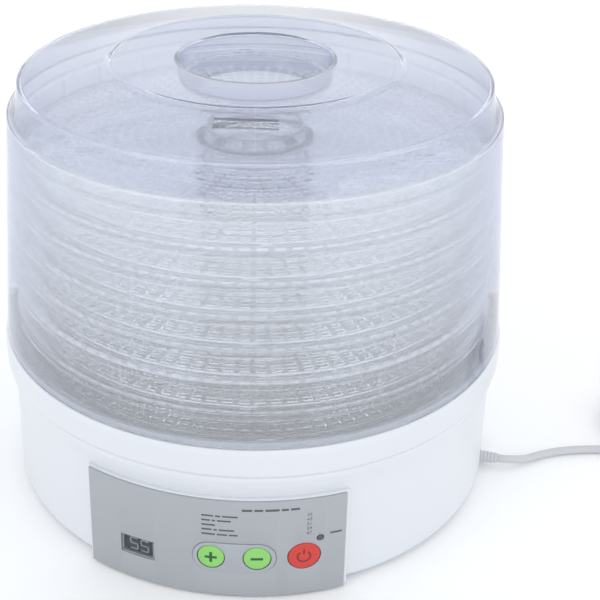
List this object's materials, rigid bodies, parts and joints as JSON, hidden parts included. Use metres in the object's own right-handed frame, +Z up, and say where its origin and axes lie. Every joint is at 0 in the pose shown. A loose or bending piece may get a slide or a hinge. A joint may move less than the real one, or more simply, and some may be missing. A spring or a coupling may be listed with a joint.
{
  "type": "food dehydrator",
  "caption": "Round food dehydrator: white base with fan heater and silver control panel, a stack of clear trays and a clear bell cover.",
  "frame": {"origin": "on the floor under the centre of the round base", "axes": "+Z up through the tray stack, -Y out of the control panel, +X to the side that the cord leaves"},
  "size_m": [0.4975, 0.33, 0.283],
  "materials": {
    "base_white": "satin moulded plastic",
    "clear_plastic": "clear slightly blue plastic",
    "window": "clear window plastic",
    "panel_silver": "satin silver overlay",
    "button_green": "satin",
    "button_red": "satin",
    "dark_plastic": "matte",
    "mica": "mica board",
    "board": "circuit board",
    "steel": "plated steel",
    "brass": "bright",
    "rubber": "matte",
    "cord_white": "flexible vinyl"
  },
  "bodies": {
    "base": {"base_shell": "base_white", "bottom_cover": "base_white", "top_deck": "base_white", "air_grille": "base_white", "heater_shroud": "steel", "heater_frame": "mica", "heating_coil": "steel", "thermal_fuse": "steel", "temperature_probe": "steel", "fan_motor": "dark_plastic", "motor_bracket": "steel", "control_panel": "panel_silver", "button_bezel": "panel_silver", "switch_plus": "dark_plastic", "switch_minus": "dark_plastic", "switch_power": "dark_plastic", "lcd_window": "window", "lcd_module": "dark_plastic", "led_indicator": "window", "control_board": "board", "strain_relief": "cord_white", "power_cord": "cord_white", "cord_coil": "cord_white", "cord_tie": "dark_plastic", "plug_body": "cord_white", "plug_pin_left": "brass", "plug_pin_right": "brass", "foot_1": "rubber", "bottom_screw_1": "steel", "foot_2": "rubber", "bottom_screw_2": "steel", "foot_3": "rubber", "bottom_screw_3": "steel", "foot_4": "rubber", "bottom_screw_4": "steel"},
    "fan": {"fan_impeller": "dark_plastic", "motor_shaft": "steel"},
    "plus": {"button_plus": "button_green"},
    "minus": {"button_minus": "button_green"},
    "power": {"button_power": "button_red"},
    "cover": {"cover": "clear_plastic"},
    "tray_body_1": {"tray_1": "clear_plastic"},
    "tray_body_2": {"tray_2": "clear_plastic"},
    "tray_body_3": {"tray_3": "clear_plastic"},
    "tray_body_4": {"tray_4": "clear_plastic"},
    "tray_body_5": {"tray_5": "clear_plastic"},
    "tray_body_6": {"tray_6": "clear_plastic"},
    "tray_body_7": {"tray_7": "clear_plastic"}
  },
  "joints": [
    {"name": "fan_spin", "type": "hinge", "parent": "base", "child": "fan", "pos_m": [0, 0, 0.062], "axis": [0, 0, 1], "continuous": true},
    {"name": "button_plus_press", "type": "slide", "parent": "base", "child": "plus", "axis": [0, 1, 0], "range_m": [0, 0.001], "stiffness_N_per_m": 900, "springref_m": -0.0005},
    {"name": "button_minus_press", "type": "slide", "parent": "base", "child": "minus", "axis": [0, 1, 0], "range_m": [0, 0.001], "stiffness_N_per_m": 900, "springref_m": -0.0005},
    {"name": "button_power_press", "type": "slide", "parent": "base", "child": "power", "axis": [0, 1, 0], "range_m": [0, 0.001], "stiffness_N_per_m": 900, "springref_m": -0.0005},
    {"name": "tray_1_lift", "type": "slide", "parent": "base", "child": "tray_body_1", "axis": [0, 0, 1], "range_m": [0, 0.04]},
    {"name": "tray_2_lift", "type": "slide", "parent": "tray_body_1", "child": "tray_body_2", "axis": [0, 0, 1], "range_m": [0, 0.04]},
    {"name": "tray_3_lift", "type": "slide", "parent": "tray_body_2", "child": "tray_body_3", "axis": [0, 0, 1], "range_m": [0, 0.04]},
    {"name": "tray_4_lift", "type": "slide", "parent": "tray_body_3", "child": "tray_body_4", "axis": [0, 0, 1], "range_m": [0, 0.04]},
    {"name": "tray_5_lift", "type": "slide", "parent": "tray_body_4", "child": "tray_body_5", "axis": [0, 0, 1], "range_m": [0, 0.04]},
    {"name": "tray_6_lift", "type": "slide", "parent": "tray_body_5", "child": "tray_body_6", "axis": [0, 0, 1], "range_m": [0, 0.04]},
    {"name": "tray_7_lift", "type": "slide", "parent": "tray_body_6", "child": "tray_body_7", "axis": [0, 0, 1], "range_m": [0, 0.04]},
    {"name": "cover_lift", "type": "slide", "parent": "tray_body_7", "child": "cover", "axis": [0, 0, 1], "range_m": [0, 0.19]}
  ]
}
